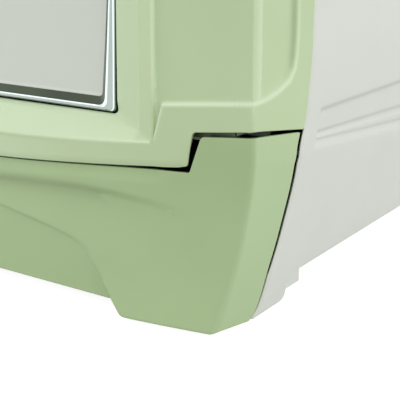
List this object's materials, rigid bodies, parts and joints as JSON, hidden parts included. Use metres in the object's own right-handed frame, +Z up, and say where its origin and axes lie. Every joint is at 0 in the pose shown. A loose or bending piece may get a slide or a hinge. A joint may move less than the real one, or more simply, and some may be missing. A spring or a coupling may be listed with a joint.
{
  "type": "drawer litter box",
  "caption": "Enclosed cat litter box with a stepped front cover, a clear swinging door, a pull-out litter drawer and a hinged top lid with a handle and filter.",
  "frame": {"origin": "middle of the footprint, on the floor", "axes": "+Z up, the front with the door and drawer faces -Y, +X to the right seen from the back, the left-right symmetry plane is X = 0"},
  "size_m": [0.43, 0.53, 0.42],
  "materials": {
    "sage_plastic": "satin moulded plastic, sage green",
    "milk_plastic": "satin moulded plastic, milk white",
    "grey_plastic": "satin moulded plastic, light grey",
    "clear_plastic": "clear moulded plastic, polished",
    "steel": "plain steel",
    "rubber_pad": "soft rubber",
    "charcoal_pad": "charcoal-filled foam pad"
  },
  "bodies": {
    "housing": {"main_body": "milk_plastic", "base_plate": "milk_plastic", "foot_pads": "rubber_pad", "left_runner": "milk_plastic", "right_runner": "milk_plastic", "runner_screws": "steel", "front_cover": "sage_plastic", "cover_screws": "steel", "entry_step": "milk_plastic", "hinge_rod": "steel", "lid_hinge_pins": "steel"},
    "drawer": {"litter_drawer": "grey_plastic", "drawer_front": "sage_plastic", "drawer_screws": "steel"},
    "door": {"door_rim": "clear_plastic", "door_panel": "clear_plastic"},
    "lid": {"top_lid": "milk_plastic", "carbon_filter": "charcoal_pad", "handle_pins": "steel"},
    "filter_lid": {"filter_cover": "sage_plastic"},
    "handle": {"carry_handle": "sage_plastic"}
  },
  "joints": [
    {"name": "drawer_slide", "type": "slide", "parent": "housing", "child": "drawer", "axis": [0, -1, 0], "range_m": [0, 0.33]},
    {"name": "door_swing", "type": "hinge", "parent": "housing", "child": "door", "pos_m": [0, -0.223, 0.321], "axis": [1, 0, 0], "range_deg": [-80, 75]},
    {"name": "lid_hinge", "type": "hinge", "parent": "housing", "child": "lid", "pos_m": [0, 0.2595, 0.3465], "axis": [-1, 0, 0], "range_deg": [0, 95]},
    {"name": "handle_fold", "type": "hinge", "parent": "lid", "child": "handle", "pos_m": [0, -0.041, 0.406], "axis": [1, 0, 0], "range_deg": [0, 90]},
    {"name": "filter_lift", "type": "slide", "parent": "lid", "child": "filter_lid", "axis": [0, 0, 1], "range_m": [0, 0.03]}
  ]
}
